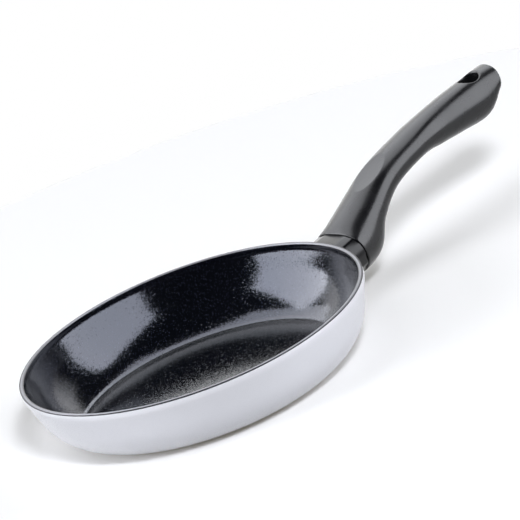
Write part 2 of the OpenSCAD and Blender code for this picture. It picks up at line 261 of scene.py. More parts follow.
def lines_to(bm, vert, *points):
    """Draws the profile on through points of radius and height, and returns their vertices."""
    drawn = [vert]
    for r, z in points:
        drawn.append(line_to(bm, drawn[-1], r, z))
    return drawn[1:]


def flat_to(bm, vert, r, z, ease):
    """Draws a line with a short step at each end, so that smooth shading leaves its middle flat."""
    begin, end = vert.co.copy(), Vector((r, 0.0, z))
    step = (end - begin).normalized() * ease
    return lines_to(bm, vert, *((p.x, p.z) for p in (begin + step, end - step, end)))[-1]


def arc_to(bm, vert, centre_r, centre_z, sweep, steps):
    """Draws the profile on round a centre in the radius and height plane, and returns its new end."""
    swept = bmesh.ops.spin(bm, geom=[vert], cent=(centre_r, 0, centre_z), axis=(0, -1, 0),
                           angle=sweep, steps=steps)
    return next(g for g in swept["geom_last"] if isinstance(g, bmesh.types.BMVert))


def start_profile(r, z):
    """A new bmesh with the first vertex of a profile."""
    bm = bmesh.new()
    return bm, bm.verts.new((r, 0.0, z))


def round_corner(bm, vert, size, segments=4):
    """Rounds one corner of a profile."""
    bmesh.ops.bevel(bm, geom=[vert], offset=size, offset_type="OFFSET", segments=segments,
                    profile=0.5, affect="VERTICES", material=-1)


def round_edges(bm, edges, width, segments=3):
    """Rounds edges of a solid."""
    bmesh.ops.bevel(bm, geom=edges, offset=width, offset_type="OFFSET", segments=segments,
                    profile=0.5, affect="EDGES", material=-1)


def made_verts(result):
    """The vertices that an operator made."""
    return [g for g in result["geom"] if isinstance(g, bmesh.types.BMVert)]


def push_end(bm, faces, way):
    """Pushes an end out, or in for a socket, with new sides round it."""
    pushed = made_verts(bmesh.ops.extrude_face_region(bm, geom=faces))
    bmesh.ops.translate(bm, verts=pushed, vec=way)
    bmesh.ops.delete(bm, geom=faces, context="FACES_ONLY")


def face_out(bm):
    """Points every face outward."""
    bmesh.ops.recalc_face_normals(bm, faces=bm.faces)


def turn(bm, steps):
    """Turns a profile round the upright axis into a closed solid."""
    bmesh.ops.spin(bm, geom=bm.verts[:] + bm.edges[:], cent=(0, 0, 0), axis=(0, 0, 1),
                   angle=math.tau, steps=steps, use_merge=True)
    bmesh.ops.remove_doubles(bm, verts=bm.verts, dist=MERGE)
    face_out(bm)


def new_object(bm, name):
    """Makes a mesh object from a bmesh, at the origin."""
    mesh = bpy.data.meshes.new(name)
    bm.to_mesh(mesh)
    bm.free()
    piece = bpy.data.objects.new(name, mesh)
    bpy.context.scene.collection.objects.link(piece)
    return piece


def cylinder(name, r, depth, matrix):
    """A plain cylinder to cut a hole with."""
    bm = bmesh.new()
    bmesh.ops.create_cone(bm, cap_ends=True, segments=SMALL_TURN_STEPS, radius1=r, radius2=r,
                          depth=depth, matrix=matrix)
    return new_object(bm, name)


def cut(piece, *cutters):
    """Cuts solids away from a piece. The n-th cutter's faces keep material index n."""
    for i in range(len(cutters) + 1):
        piece.data.materials.append(bpy.data.materials.new("cut_%d" % i))
    for i, cutter in enumerate(cutters):
        for j in range(len(cutters) + 1):
            cutter.data.materials.append(piece.data.materials[j])
        for face in cutter.data.polygons:
            face.material_index = i + 1
        modifier = piece.modifiers.new("cut", "BOOLEAN")
        modifier.operation = "DIFFERENCE"
        modifier.solver = "EXACT"
        modifier.object = cutter
    shown = piece.evaluated_get(bpy.context.evaluated_depsgraph_get())
    mesh = bpy.data.meshes.new_from_object(shown)
    piece.modifiers.clear()
    old = piece.data
    piece.data = mesh
    mesh.name = piece.name
    bpy.data.meshes.remove(old)
    for cutter in cutters:
        bpy.data.objects.remove(cutter)


def soften_cut(piece, index, width):
    """Rounds the edges between the faces that a cutter left and the rest. Slivers go first."""
    sliver, needle = 0.06 * MM, 0.01 * MM
    bm = bmesh.new()
    bm.from_mesh(piece.data)
    bmesh.ops.remove_doubles(bm, verts=bm.verts, dist=sliver)
    bmesh.ops.dissolve_degenerate(bm, edges=bm.edges, dist=needle)
    seam = [e for e in bm.edges
            if sorted(f.material_index == index for f in e.link_faces) == [False, True]]
    round_edges(bm, seam, width)
    bm.to_mesh(piece.data)
    bm.free()


def finish(piece, material, replaced, sharp=30):
    """Shades a piece, gives it its material, and lets it ride and stand for its CAD nodes."""
    mesh = piece.data
    mesh.materials.clear()
    mesh.materials.append(material)
    mesh.polygons.foreach_set("material_index", [0] * len(mesh.polygons))
    mesh.polygons.foreach_set("use_smooth", [True] * len(mesh.polygons))
    mesh.set_sharp_from_angle(angle=math.radians(sharp))
    mesh.update()
    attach(piece, "root")
    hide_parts(*replaced)


# Pan geometry shared by its pieces

def bend_top_z(pan):
    """Height where the bend meets the flared wall."""
    return pan.bend_r * (1 - math.sin(pan.wall_flare))


def bend_centre_r(pan):
    """Radius of the bend's centre."""
    band_z = pan.height - pan.band_h
    top_r = pan.rim_d / 2 - (band_z - bend_top_z(pan)) * math.tan(pan.wall_flare)
    return top_r - pan.bend_r * math.cos(pan.wall_flare)


def bend_to(bm, vert, pan, sweep):
    """Draws the profile on round the bend's centre, and returns its new end."""
    return arc_to(bm, vert, bend_centre_r(pan), pan.bend_r, sweep, BEND_STEPS)


def foot_r(pan):
    """Radius of the flat that the pan stands on."""
    return bend_centre_r(pan) + pan.foot_step


def bend_angle_at_r(pan, r, inset):
    """Angle on the bend where a surface set inward reaches a radius."""
    return -math.acos((r - bend_centre_r(pan)) / (pan.bend_r - inset))


def bend_angle_at_z(pan, z, inset):
    """Angle on the bend where a surface set inward reaches a height."""
    return -math.asin((pan.bend_r - z) / (pan.bend_r - inset))


def corner_z(pan, inset):
    """Height of the corner between the flared wall and the upright band."""
    flare = pan.wall_flare
    return pan.height - pan.band_h + inset * (1 - math.cos(flare)) / math.sin(flare)


def wall_r_at(pan, z):
    """Outside radius of the flared wall at a height."""
    return pan.rim_d / 2 - (pan.height - pan.band_h - z) * math.tan(pan.wall_flare)


def side_up(bm, vert, pan, inset, start, top_z):
    """Draws the side from a start angle on the bend up to a height, set inward. The corner under
    the band is softened, as a pressed sheet has no sharp corner."""
    vert = bend_to(bm, vert, pan, -pan.wall_flare - start)
    corner = flat_to(bm, vert, pan.rim_d / 2 - inset, corner_z(pan, inset), WALL_EASE)
    top = line_to(bm, corner, pan.rim_d / 2 - inset, top_z)
    return corner, top


def bend_point(pan, inset, at):
    """Radius and height of a point on the bend."""
    reach = pan.bend_r - inset
    return bend_centre_r(pan) + reach * math.cos(at), pan.bend_r + reach * math.sin(at)


def build_body(pan):
    """Closed turned profile of the pressed body, with a rounded bare lip."""
    inner = pan.wall_t - pan.lining_t
    floor_z = pan.floor_t - pan.lining_t
    seat_r = foot_r(pan) - pan.disc_inset + pan.seat_gap
    seat_z = pan.disc_t + pan.seat_gap
    start = bend_angle_at_r(pan, foot_r(pan), pan.enamel_t)
    bm, vert = start_profile(0, seat_z)
    _, seat_edge, foot, vert = lines_to(bm, vert, (seat_r, seat_z), (seat_r, 0), (foot_r(pan), 0),
                                        bend_point(pan, pan.enamel_t, start))
    outer_corner, outer_top = side_up(bm, vert, pan, pan.enamel_t, start, pan.height)
    inner_r = pan.rim_d / 2 - inner
    inner_top, inner_corner, vert = lines_to(
        bm, outer_top, (inner_r, pan.height), (inner_r, corner_z(pan, inner)),
        bend_point(pan, inner, -pan.wall_flare))
    end = bend_angle_at_z(pan, floor_z, inner)
    vert = bend_to(bm, vert, pan, end + pan.wall_flare)
    line_to(bm, vert, 0, floor_z)
    for corners, size, segments in (((outer_corner, inner_corner), CORNER_ROUND, 4),
                                    ((outer_top, inner_top), pan.lip_round, 5),
                                    ((seat_edge, foot), EDGE_BREAK, 2)):
        for corner in corners:
            round_corner(bm, corner, size, segments)
    turn(bm, PAN_TURN_STEPS)
    return new_object(bm, "pressed_body")


def build_lining(pan):
    """Closed turned skin over the floor and the inside of the wall."""
    outer = pan.wall_t - pan.lining_t
    top_z = pan.height - pan.lining_drop
    start = bend_angle_at_z(pan, pan.floor_t - pan.lining_t, outer)
    end = bend_angle_at_z(pan, pan.floor_t, pan.wall_t)
    bm, vert = start_profile(0, pan.floor_t - pan.lining_t)
    outer_crease = line_to(bm, vert, *bend_point(pan, outer, start))
    outer_corner, vert = side_up(bm, outer_crease, pan, outer, start, top_z)
    inner_r = pan.rim_d / 2 - pan.wall_t
    lip, corner = lines_to(bm, vert, (inner_r, top_z), (inner_r, corner_z(pan, pan.wall_t)))
    # From the crease the bend starts tight, where the coat pools a little thicker, and opens to a
    # wider arc that meets the wall. Each arc is given by the slopes at its ends.
    crease_r, crease_z = bend_point(pan, pan.wall_t, end)
    begin, change, wall = math.pi / 2 + end, pan.crease_slope, math.pi / 2 - pan.wall_flare
    tight, tight_steps, wide_steps, floor_ease = pan.crease_bend_r, 12, 20, 0.3 * MM
    change_r = crease_r + tight * (math.sin(change) - math.sin(begin))
    change_z = crease_z + tight * (math.cos(begin) - math.cos(change))
    wall_r, wall_z = bend_point(pan, pan.wall_t, -pan.wall_flare)
    c, s = math.cos(pan.wall_flare), math.sin(pan.wall_flare)
    wide = ((c * (wall_r - change_r) - s * (wall_z - change_z))
            / (c * (math.sin(wall) - math.sin(change)) - s * (math.cos(change) - math.cos(wall))))
    centre_r, centre_z = change_r - wide * math.sin(change), change_z + wide * math.cos(change)
    vert = flat_to(bm, corner, centre_r + wide * math.sin(wall), centre_z - wide * math.cos(wall),
                   WALL_EASE)
    vert = arc_to(bm, vert, centre_r, centre_z, change - wall, wide_steps)
    crease = arc_to(bm, vert, change_r - tight * math.sin(change), change_z + tight * math.cos(change),
                    begin - change, tight_steps)
    flat_to(bm, crease, 0, pan.floor_t, floor_ease)
    round_corner(bm, outer_corner, CORNER_ROUND)
    round_corner(bm, corner, CORNER_ROUND)
    round_corner(bm, lip, EDGE_BREAK, 2)
    turn(bm, PAN_TURN_STEPS)
    return new_object(bm, "speckled_lining")


def build_enamel(pan, mount):
    """Closed turned skin over the outside, open where the boss is welded."""
    foot = foot_r(pan)
    top_z = pan.height - pan.bare_h - pan.line_h
    start = bend_angle_at_r(pan, foot, 0)
    end = bend_angle_at_r(pan, foot, pan.enamel_t)
    bm, first = start_profile(*bend_point(pan, 0, start))
    corner, top = side_up(bm, first, pan, 0, start, top_z)
    inner_r = pan.rim_d / 2 - pan.enamel_t
    _, inner_corner, vert = lines_to(bm, top, (inner_r, top_z), (inner_r, corner_z(pan, pan.enamel_t)),
                                     bend_point(pan, pan.enamel_t, -pan.wall_flare))
    vert = bend_to(bm, vert, pan, end + pan.wall_flare)
    bm.edges.new((vert, first))
    for bent in (corner, inner_corner):
        round_corner(bm, bent, CORNER_ROUND)
    round_corner(bm, top, COAT_BREAK, 2)
    turn(bm, PAN_TURN_STEPS)
    piece = new_object(bm, "enamel_coat")
    cut(piece, cylinder("boss_hole", mount.boss_foot_d / 2 + mount.pass_gap, mount.boss_foot_d,
                        mount_matrix(pan, mount)))
    return piece


def build_line(pan):
    """Thin near-black ring under the bare rim."""
    top_z = pan.height - pan.bare_h
    low_z = top_z - pan.line_h
    outer_r = pan.rim_d / 2
    inner_r = outer_r - pan.enamel_t
    bm, first = start_profile(inner_r, low_z)
    low, top, last = lines_to(bm, first, (outer_r, low_z), (outer_r, top_z), (inner_r, top_z))
    bm.edges.new((last, first))
    round_corner(bm, top, LINE_TOP_ROUND, 3)
    round_corner(bm, low, LINE_LOW_BREAK, 2)
    turn(bm, PAN_TURN_STEPS)
    return new_object(bm, "dark_rim_line")


def build_disc(pan):
    """Steel disc with turned grooves, chamfered at its edge."""
    disc_r = foot_r(pan) - pan.disc_inset
    bm, middle = start_profile(0, 0)
    half = pan.groove_w / 2
    edges = [middle]
    r = pan.groove_pitch
    while r < disc_r - pan.groove_pitch / 2:
        edges += lines_to(bm, edges[-1], (r - half, 0), (r - half / 2, pan.groove_depth),
                          (r + half / 2, pan.groove_depth), (r + half, 0))
        r += pan.groove_pitch
    rim = lines_to(bm, edges[-1], (disc_r, 0), (disc_r, pan.disc_t), (0, pan.disc_t))[0]
    for vert in edges[1:]:
        round_corner(bm, vert, GROOVE_BREAK, 2)
    round_corner(bm, rim, DISC_CHAMFER, 2)
    turn(bm, PAN_TURN_STEPS)
    return new_object(bm, "turned_disc")


# Mount geometry

def mount_matrix(pan, mount):
    """Frame on the wall: Z runs out along the mount's axis and X points down the pan."""
    place = Matrix.Translation((wall_r_at(pan, mount.mount_z), 0, mount.mount_z))
    return place @ Matrix.Rotation(math.pi / 2 - mount.mount_tilt, 4, "Y")


def to_mount(bm, pan, mount):
    """Moves a form drawn upright at the origin onto the mount's axis."""
    bmesh.ops.transform(bm, matrix=mount_matrix(pan, mount), verts=bm.verts)


def way_r(mount):
    """Radius of every hole that the screw passes."""
    return mount.screw_d / 2 + mount.pass_gap


def mount_axis(pan, mount):
    """Direction of the mount's axis, away from the wall."""
    return mount_matrix(pan, mount).to_3x3() @ Vector((0, 0, 1))


def mouth_top(pan, mount, handle):
    """Top point of the handle's mouth."""
    centre = mount_matrix(pan, mount) @ Vector((0, 0, mount.guard_len))
    return centre + handle.mouth_up * Vector((-math.sin(handle.mouth_lean), 0,
                                              math.cos(handle.mouth_lean)))


def mouth_normal(handle):
    """Direction that the mouth's face looks away from, towards the tip."""
    return Vector((math.cos(handle.mouth_lean), 0, math.sin(handle.mouth_lean)))


# Angles round the section, from its side, of the long edges of the guard's facets
GUARD_ANGLES = (65, 48, 27, 0, -30, -60, -84)


def guard_prism(pan, mount, handle, inset, low, high, edge_round):
    """Prism of the flame guard's outline along the mount's axis, with its long edges rounded."""
    bm = bmesh.new()
    half_w, up, down = (size - inset for size in (handle.mouth_w / 2, handle.mouth_up,
                                                  handle.mouth_down))
    right = [egg_point(math.radians(a), half_w, up, down, CROWN_POWERS[0], BELLY_POWERS[0])
             for a in GUARD_ANGLES]
    outline = right + [(-p, q) for p, q in reversed(right)]
    face = bm.faces.new([bm.verts.new((-q, p, low)) for p, q in outline])
    top = made_verts(bmesh.ops.extrude_face_region(bm, geom=[face]))
    bmesh.ops.translate(bm, verts=top, vec=(0, 0, high - low))
    if edge_round:
        round_edges(bm, [e for e in bm.edges
                         if abs(e.verts[0].co.z - e.verts[1].co.z) > (high - low) / 2], edge_round, 4)
    to_mount(bm, pan, mount)
    face_out(bm)
    return bm


def pan_block(pan, gap):
    """Turned solid that fills the pan's outside, grown by a gap, to cut what seats on the wall."""
    bm, vert = start_profile(0, -gap)
    vert = line_to(bm, vert, bend_centre_r(pan), -gap)
    vert = bend_to(bm, vert, pan, math.pi / 2 - pan.wall_flare)
    outer_r = pan.rim_d / 2 + gap
    lines_to(bm, vert, (outer_r, corner_z(pan, -gap)), (outer_r, pan.height), (0, pan.height))
    turn(bm, 2 * PAN_TURN_STEPS)
    return new_object(bm, "pan_block")


def build_guard(pan, mount, handle):
    """Sleeve from the wall to the handle's mouth, hollow round the boss, with its spigot."""
    root = foot_r(pan) / 2
    bm = guard_prism(pan, mount, handle, mount.guard_step, -root, 2 * mount.guard_len,
                     mount.guard_round)
    away = mouth_normal(handle)
    face_point = mouth_top(pan, mount, handle) - away * pan.seat_gap
    bmesh.ops.bisect_plane(bm, geom=bm.verts[:] + bm.edges[:] + bm.faces[:], plane_co=face_point,
                           plane_no=away, clear_outer=True)
    rim = [e for e in bm.edges if e.is_boundary]
    end = bmesh.ops.edgeloop_fill(bm, edges=rim)["faces"]
    face_out(bm)
    bmesh.ops.inset_region(bm, faces=end, thickness=mount.spigot_step, use_even_offset=True)
    push_end(bm, end, mount_axis(pan, mount) * mount.spigot_len)
    round_edges(bm, rim, mount.guard_end_round)
    face_out(bm)
    piece = new_object(bm, "flame_sleeve")
    hollow = guard_prism(pan, mount, handle, mount.guard_step + mount.guard_t, -1.1 * root,
                         mount.guard_len - mount.guard_end_t, 0)
    way = cylinder("guard_way", way_r(mount), 4 * mount.guard_len,
                   mount_matrix(pan, mount))
    cut(piece, new_object(hollow, "guard_hollow"), way, pan_block(pan, pan.seat_gap))
    return piece


# Handle geometry: stations are shares of the way along it, runs and rises are shares of its reach
# and its rise, and leans are degrees from upright, as drawn for the CAD solid

STATIONS = (0, 0.07, 0.16, 0.28, 0.42, 0.58, 0.74, 0.88, 0.94, 1)
RUNS = (0, 0.037, 0.124, 0.276, 0.47, 0.61, 0.742, 0.86, 0.915, 0.973)
RISES = (0, 0.115, 0.31, 0.63, 0.82, 0.91, 0.965, 0.99, 1, 1)
MOUTH_DEPTHS = (1, 1.26, 0.43, 0.04, 0, 0, 0, 0, 0, 0)
MOUTH_WIDTHS = (1, 0.8, 0.53, 0.2, 0.1, 0, 0, 0, 0, 0)
PALMS = (0, 0, 0, 0, 0, 0.4, 0.78, 1, 0.7, 0)
TIPS = (0, 0, 0, 0, 0, 0, 0, 0, 0.25, 1)
LEANS = (34, 37, 22, 16, 2, 0, 0, -3, -13)
CROWN_POWERS = (2.8, 2.35, 2.1, 2.02, 2.02, 2.06, 2.08, 2.1, 2.1, 2.1)
BELLY_POWERS = (1.8, 1.9, 2.1, 2.3, 2.3, 2.2, 2.2, 2.1, 2.1, 2.1)
WIDESTS = (0.42, 0.45, 0.48, 0.49, 0.51, 0.53, 0.54, 0.54, 0.53)


def smooth_at(values, share):
    """Smooth curve through a list of values at the stations."""
    last = len(STATIONS) - 1
    k = max(i for i in range(last) if share >= STATIONS[i])

    def slope(i):
        low, high = max(i - 1, 0), min(i + 1, last)
        return (values[high] - values[low]) / (STATIONS[high] - STATIONS[low])

    span = STATIONS[k + 1] - STATIONS[k]
    t = (share - STATIONS[k]) / span
    return (values[k] * (2 * t ** 3 - 3 * t ** 2 + 1) + slope(k) * span * (t ** 3 - 2 * t ** 2 + t)
            + values[k + 1] * (3 * t ** 2 - 2 * t ** 3) + slope(k + 1) * span * (t ** 3 - t ** 2))


def egg_point(at, half_w, up, down, crown, belly):
    """Point of a section at an angle: a superellipse with its own crown and belly."""
    power = crown if math.sin(at) > 0 else belly
    rho = (abs(math.cos(at)) ** power + abs(math.sin(at)) ** power) ** (-1 / power)
    return rho * math.cos(at) * half_w, rho * math.sin(at) * (up if math.sin(at) > 0 else down)


class Loft:
    """The handle's sections, worked out from its sizes."""

    def __init__(self, pan, mount, handle):
        self.handle = handle
        self.top = mouth_top(pan, mount, handle)
        self.mouth_h = handle.mouth_up + handle.mouth_down
        self.leans = (math.degrees(handle.mouth_lean),) + LEANS
        self.widests = (handle.mouth_up / self.mouth_h,) + WIDESTS

    def top_at(self, share):
        """Point of the top line."""
        return self.top + Vector((self.handle.reach * smooth_at(RUNS, share), 0,
                                  self.handle.rise * smooth_at(RISES, share)))

    def depth_at(self, share):
        """Depth of the section."""
        h = self.handle
        return (h.neck_h + (self.mouth_h - h.neck_h) * smooth_at(MOUTH_DEPTHS, share)
                + (h.palm_h - h.neck_h) * smooth_at(PALMS, share))

    def half_w_at(self, share):
        """Half width of the section."""
        h = self.handle
        return (h.neck_w + (h.mouth_w - h.neck_w) * smooth_at(MOUTH_WIDTHS, share)
                + (h.palm_w - h.neck_w) * smooth_at(PALMS, share)
                + (h.tip_w - h.neck_w) * smooth_at(TIPS, share)) / 2

    def place(self, share, at, shrink=1.0, push=0.0):
        """Point on the handle at a share of its length and an angle round it."""
        lean = math.radians(smooth_at(self.leans, share))
        up = Vector((-math.sin(lean), 0, math.cos(lean)))
        depth, widest = self.depth_at(share), smooth_at(self.widests, share)
        across, high = egg_point(at, self.half_w_at(share), depth * widest, depth * (1 - widest),
                                 smooth_at(CROWN_POWERS, share), smooth_at(BELLY_POWERS, share))
        middle = self.top_at(share) - up * depth * widest + push * Vector((up.z, 0, -up.x))
        return middle + up * high * shrink + Vector((0, -across * shrink, 0))


def next_ring(bm, edges, layer, place):
    """Extrudes the open ring and places its vertices by the angle that each keeps."""
    result = bmesh.ops.extrude_edge_only(bm, edges=edges)
    for vert in made_verts(result):
        vert.co = place(vert[layer])
    return [g for g in result["geom"] if isinstance(g, bmesh.types.BMEdge) and g.is_boundary]


def first_ring(bm, segments, place):
    """Starts a loft with a ring whose vertices keep their angle and are placed by it. Returns the
    layer that holds the angle, and the ring's edges."""
    layer = bm.verts.layers.float.new("turn")
    bmesh.ops.create_circle(bm, segments=segments, radius=1.0)
    for vert in bm.verts:
        vert[layer] = math.atan2(vert.co.y, vert.co.x)
        vert.co = place(vert[layer])
    return layer, bm.edges[:]


def build_grip(pan, mount, handle):
    """Handle lofted through its sections, with its socket, thumb rest, hanging hole and screw way."""
    loft = Loft(pan, mount, handle)
    bm = bmesh.new()
    layer, mouth = first_ring(bm, GRIP_ROUND_STEPS, lambda at: loft.place(0, at))
    edges = mouth
    for i in range(1, GRIP_LONG_STEPS + 1):
        edges = next_ring(bm, edges, layer, lambda at, s=i / GRIP_LONG_STEPS: loft.place(s, at))
    # The end's rounding starts at a slope, so that it takes up the narrowing of the last sections,
    # and stops just short of the end, where a small flat closes it
    begin, stop, tip_steps = math.radians(24), math.radians(85), 12
    for i in range(1, tip_steps + 1):
        a = begin + (stop - begin) * i / tip_steps
        shrink = math.cos(a) / math.cos(begin)
        push = handle.tip_len * (math.sin(a) - math.sin(begin)) / (1 - math.sin(begin))
        edges = next_ring(bm, edges, layer, lambda at, c=shrink, p=push: loft.place(1, at, c, p))
    bmesh.ops.edgeloop_fill(bm, edges=edges)
    end = bmesh.ops.edgeloop_fill(bm, edges=mouth)["faces"]
    face_out(bm)
    wall = mount.guard_step + mount.spigot_step - mount.pass_gap
    bmesh.ops.inset_region(bm, faces=end, thickness=wall, use_even_offset=True)
    push_end(bm, end, mount_axis(pan, mount) * (mount.spigot_len + pan.seat_gap))
    round_edges(bm, mouth, handle.mouth_round, 4)
    face_out(bm)
    surface = BVHTree.FromBMesh(bm)
    piece = new_object(bm, "moulded_handle")
    cut(piece, rest_cutter(loft), hang_cutter(loft, surface), *screw_cutters(pan, mount, handle))
    soften_cut(piece, 1, handle.rest_edge)
    return piece


def rest_cutter(loft):
    """Lens under a large sphere, laid over the top line to hollow the thumb rest."""
    handle = loft.handle
    tries, near = 400, 0.02
    share = next(i / tries for i in range(tries + 1)
                 if loft.top_at(i / tries).x - loft.top.x >= handle.rest_at)
    chord = loft.top_at(share + near) - loft.top_at(share - near)
    slope = math.atan2(chord.z, chord.x)
    reach, above = 30 * MM, 12 * MM
    bm, vert = start_profile(0, -handle.rest_depth)
    vert = arc_to(bm, vert, 0, handle.rest_r - handle.rest_depth, math.asin(reach / handle.rest_r), 30)
    lines_to(bm, vert, (reach, above), (0, above))
    turn(bm, 2 * SMALL_TURN_STEPS)
    bmesh.ops.transform(bm, verts=bm.verts, matrix=Matrix.Translation(loft.top_at(share))
                        @ Matrix.Rotation(-slope, 4, "Y"))
    return new_object(bm, "rest_cutter")


def hang_cutter(loft, surface):
    """Trumpet through the tip: a straight bore whose mouths flare out to the handle's own surface."""
    handle = loft.handle
    centre = Vector((loft.top.x + handle.reach - handle.hang_back, 0, 0))
    r, rounding = handle.hang_d / 2, handle.hang_round
    # The flare stops a little short of the surface, and its last step reaches past it to cut clean
    last, past, steps, clearance = math.radians(76), 1.6 * MM, 7, 5 * MM

    def height(reach, at, side):
        """Height of the handle's top (side 1) or underside (side -1) over a point round the hole."""
        start = centre + Vector((reach * math.cos(at), reach * math.sin(at), loft.top_at(1).z))
        start.z += side * 100 * MM
        return surface.ray_cast(start, Vector((0, 0, -side)))[0].z

    def flare(at, side, sweep, beyond=0.0):
        """Point of the flare, from the straight bore (sweep 0) out to the surface (90 degrees)."""
        reach = r + rounding * (1 - math.cos(sweep)) + beyond * math.sin(sweep)
        level = height(reach, at, side)
        drop = rounding * (1 - math.sin(sweep)) - beyond * math.cos(sweep)
        return Vector((centre.x + reach * math.cos(at), reach * math.sin(at), level - side * drop))

    def clear(at, side):
        """Point straight above or below the flare's outermost ring, clear of the handle."""
        point = flare(at, side, last, past)
        point.z = loft.top_at(1).z + (clearance if side > 0 else -handle.palm_h - clearance)
        return point

    bm = bmesh.new()
    layer, low = first_ring(bm, HOLE_STEPS, lambda at: clear(at, -1))
    edges = next_ring(bm, low, layer, lambda at: flare(at, -1, last, past))
    for i in range(steps, -1, -1):
        edges = next_ring(bm, edges, layer, lambda at, a=last * i / steps: flare(at, -1, a))
    for i in range(steps + 1):
        edges = next_ring(bm, edges, layer, lambda at, a=last * i / steps: flare(at, 1, a))
    edges = next_ring(bm, edges, layer, lambda at: flare(at, 1, last, past))
    edges = next_ring(bm, edges, layer, lambda at: clear(at, 1))
    for ring in (low, edges):
        bmesh.ops.edgeloop_fill(bm, edges=ring)
    face_out(bm)
    return new_object(bm, "hang_cutter")


def head_seat(mount):
    """Distance along the axis of the face that the spring washer sits on."""
    return mount.boss_foot_t + mount.screw_d / 2 + mount.screw_len


def screw_cutters(pan, mount, handle):
    """The screw's own way through the handle, and the wider sink for its head."""
    seat = head_seat(mount)
    sink_r = (mount.head_d + 2 * mount.pass_gap + mount.screw_d / 4) / 2
    return [cylinder(name, r, high - low,
                     mount_matrix(pan, mount) @ Matrix.Translation((0, 0, (low + high) / 2)))
            for name, r, low, high in (("way", way_r(mount), 0, seat + MM),
                                       ("sink", sink_r, seat, seat + handle.reach / 4))]


def build_screw(pan, mount):
    """Pan-head screw: a turned blank with a crowned head, a cross recess and thread rings."""
    seat = head_seat(mount) + mount.washer_t + 2 * pan.seat_gap
    tip = seat - mount.screw_len
    shank_r, head_r = mount.screw_d / 2, mount.head_d / 2
    pitch, thread_h, threaded = 0.8 * MM, 0.45 * MM, 18 * MM
    under_break, side_round, crown_round = 0.3 * MM, 0.7 * MM, 0.9 * MM
    bm, vert = start_profile(0, tip)
    vert = line_to(bm, vert, shank_r - pitch, tip)
    z = tip + pitch / 2
    while z < tip + threaded:
        vert = lines_to(bm, vert, (shank_r - thread_h, z), (shank_r, z + pitch / 2))[-1]
        z += pitch
    # The crowned head, in shares of its radius and height
    _, _, under, side, crown, *_ = lines_to(
        bm, vert, (shank_r, z + pitch / 2), (shank_r, seat), (head_r, seat),
        *((head_r * across, seat + mount.head_h * up)
          for across, up in ((1, 0.55), (0.72, 0.93), (0.4, 1), (0, 1))))
    round_corner(bm, under, under_break, 2)
    round_corner(bm, side, side_round, 4)
    round_corner(bm, crown, crown_round, 4)
    turn(bm, SMALL_TURN_STEPS)
    to_mount(bm, pan, mount)
    piece = new_object(bm, "pan_head_screw")
    slots = []
    for quarter in (0, 1):
        bm = bmesh.new()
        bmesh.ops.create_cube(bm, size=1.0)
        bmesh.ops.scale(bm, verts=bm.verts,
                        vec=(mount.recess_len, mount.recess_w, 2 * mount.recess_depth))
        # The slot narrows towards its floor
        bmesh.ops.scale(bm, verts=[v for v in bm.verts if v.co.z < 0], vec=(0.6, 0.7, 1))
        bmesh.ops.transform(bm, verts=bm.verts, matrix=mount_matrix(pan, mount)
                            @ Matrix.Translation((0, 0, seat + mount.head_h))
                            @ Matrix.Rotation(quarter * math.pi / 2, 4, "Z"))
        slots.append(new_object(bm, "recess_%d" % quarter))
    cut(piece, *slots)
    return piece


def build_washer(pan, mount):
    """Split spring washer: a ring with a straight radial split and broken edges."""
    low = head_seat(mount) + pan.seat_gap
    inner_r = way_r(mount)
    outer_r = mount.head_d / 2
    bm, first = start_profile(inner_r, low)
    high = low + mount.washer_t
    corners = [first] + lines_to(bm, first, (outer_r, low), (outer_r, high), (inner_r, high))
    bm.edges.new((corners[-1], first))
    for corner in corners:
        round_corner(bm, corner, WASHER_BREAK, 2)
    gap = mount.washer_split / outer_r
    section = bm.faces.new(loop_verts(bm))
    bmesh.ops.rotate(bm, verts=bm.verts, cent=(0, 0, 0), matrix=Matrix.Rotation(gap / 2, 3, "Z"))
    bmesh.ops.spin(bm, geom=[section] + bm.edges[:] + bm.verts[:], cent=(0, 0, 0), axis=(0, 0, 1),
                   angle=math.tau - gap, steps=SMALL_TURN_STEPS)
    face_out(bm)
    to_mount(bm, pan, mount)
    return new_object(bm, "split_washer")


def loop_verts(bm):
    """Vertices of a closed wire loop, in order."""
    ordered = [bm.verts[:][0]]
    edge = ordered[0].link_edges[0]
    while True:
        vert = edge.other_vert(ordered[-1])
        if vert is ordered[0]:
            return ordered
        ordered.append(vert)
        edge = next(e for e in vert.link_edges if e is not edge)


# Material helpers

def add_node(tree, kind, settings=None, links=None):
    """Adds a node, sets its sockets and attributes, and links its inputs."""
    node = tree.nodes.new(kind)
    for name, value in (settings or {}).items():
        if isinstance(name, int) or name in node.inputs:
            node.inputs[name].default_value = value
        else:
            setattr(node, name, value)
    for name, source in (links or {}).items():
        tree.links.new(source, node.inputs[name])
    return node


def new_material(name, settings):
    """A material with a Principled shader, and its tree, shader and Object coordinates."""
    material = bpy.data.materials.new(name)
    material.use_nodes = True
    tree = material.node_tree
    tree.nodes.clear()
    shader = add_node(tree, "ShaderNodeBsdfPrincipled", settings)
    add_node(tree, "ShaderNodeOutputMaterial", links={"Surface": shader.outputs["BSDF"]})
    coords = add_node(tree, "ShaderNodeTexCoord").outputs["Object"]
    return material, tree, shader, coords


def rgba(value, share=1.0):
    """A colour, or a share of it, with full alpha."""
    return (*(share * c for c in value), 1.0)


